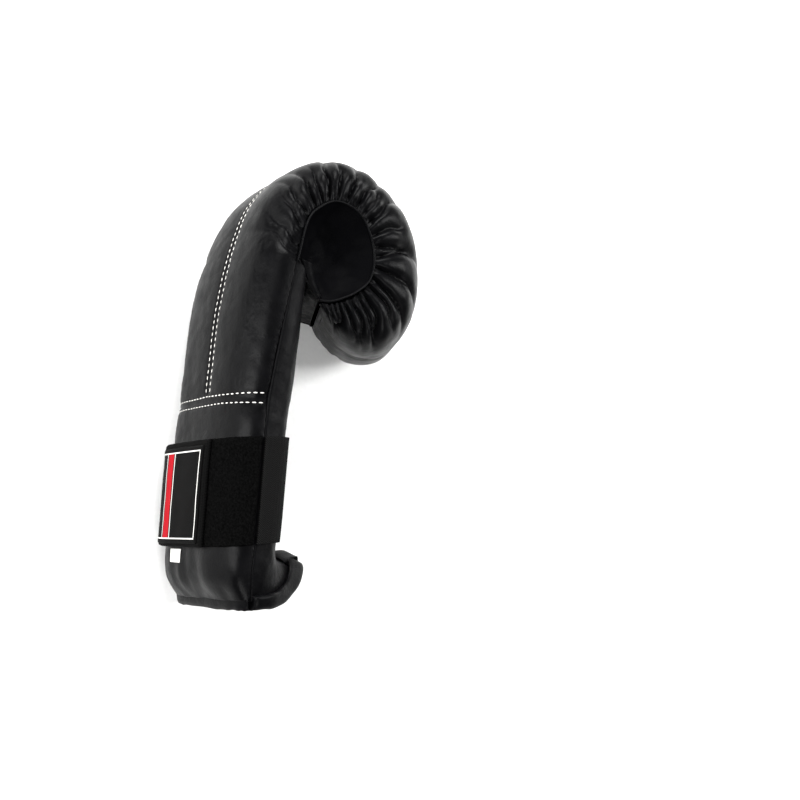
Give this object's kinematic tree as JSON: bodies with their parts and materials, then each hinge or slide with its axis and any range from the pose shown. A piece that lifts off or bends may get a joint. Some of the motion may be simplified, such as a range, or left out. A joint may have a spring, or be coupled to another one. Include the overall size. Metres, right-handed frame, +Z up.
{
  "type": "bag glove",
  "caption": "Padded bag mitt for the right hand with a rolled, gathered fist, a thumb sheath, a flared bound cuff and a wide elastic wrist strap, lying on its thumb side.",
  "frame": {"origin": "middle of the mitt's bounding box on the surface that it lies on", "axes": "+X from the back of the hand to the palm, +Y from the cuff to the knuckles, +Z up from the thumb's side to the little finger's side"},
  "size_m": [0.187, 0.266, 0.1035],
  "materials": {
    "pad_leather": "satin black coated leather over foam, with a fine grain",
    "panel_leather": "matte black coated leather, unpadded and softly creased",
    "binding": "black leather tape folded over the rim and stitched",
    "elastic": "ribbed black elastic with herringbone columns",
    "loop_pile": "black loop pile, fuzzy and dull",
    "webbing": "woven black webbing with stitched edges",
    "label": "woven label in black, red and white with a plain geometric layout",
    "tag": "bare white ribbon"
  },
  "bodies": {
    "root": {"back_pad": "pad_leather", "palm_panel": "panel_leather", "thumb_panel": "panel_leather", "finger_panel": "panel_leather", "gusset_little_side": "panel_leather", "gusset_thumb_side": "panel_leather", "cuff_binding": "binding", "elastic_band": "elastic", "loop_patch": "loop_pile", "wrist_strap": "webbing", "strap_label": "label", "size_tag": "tag"}
  },
  "joints": []
}
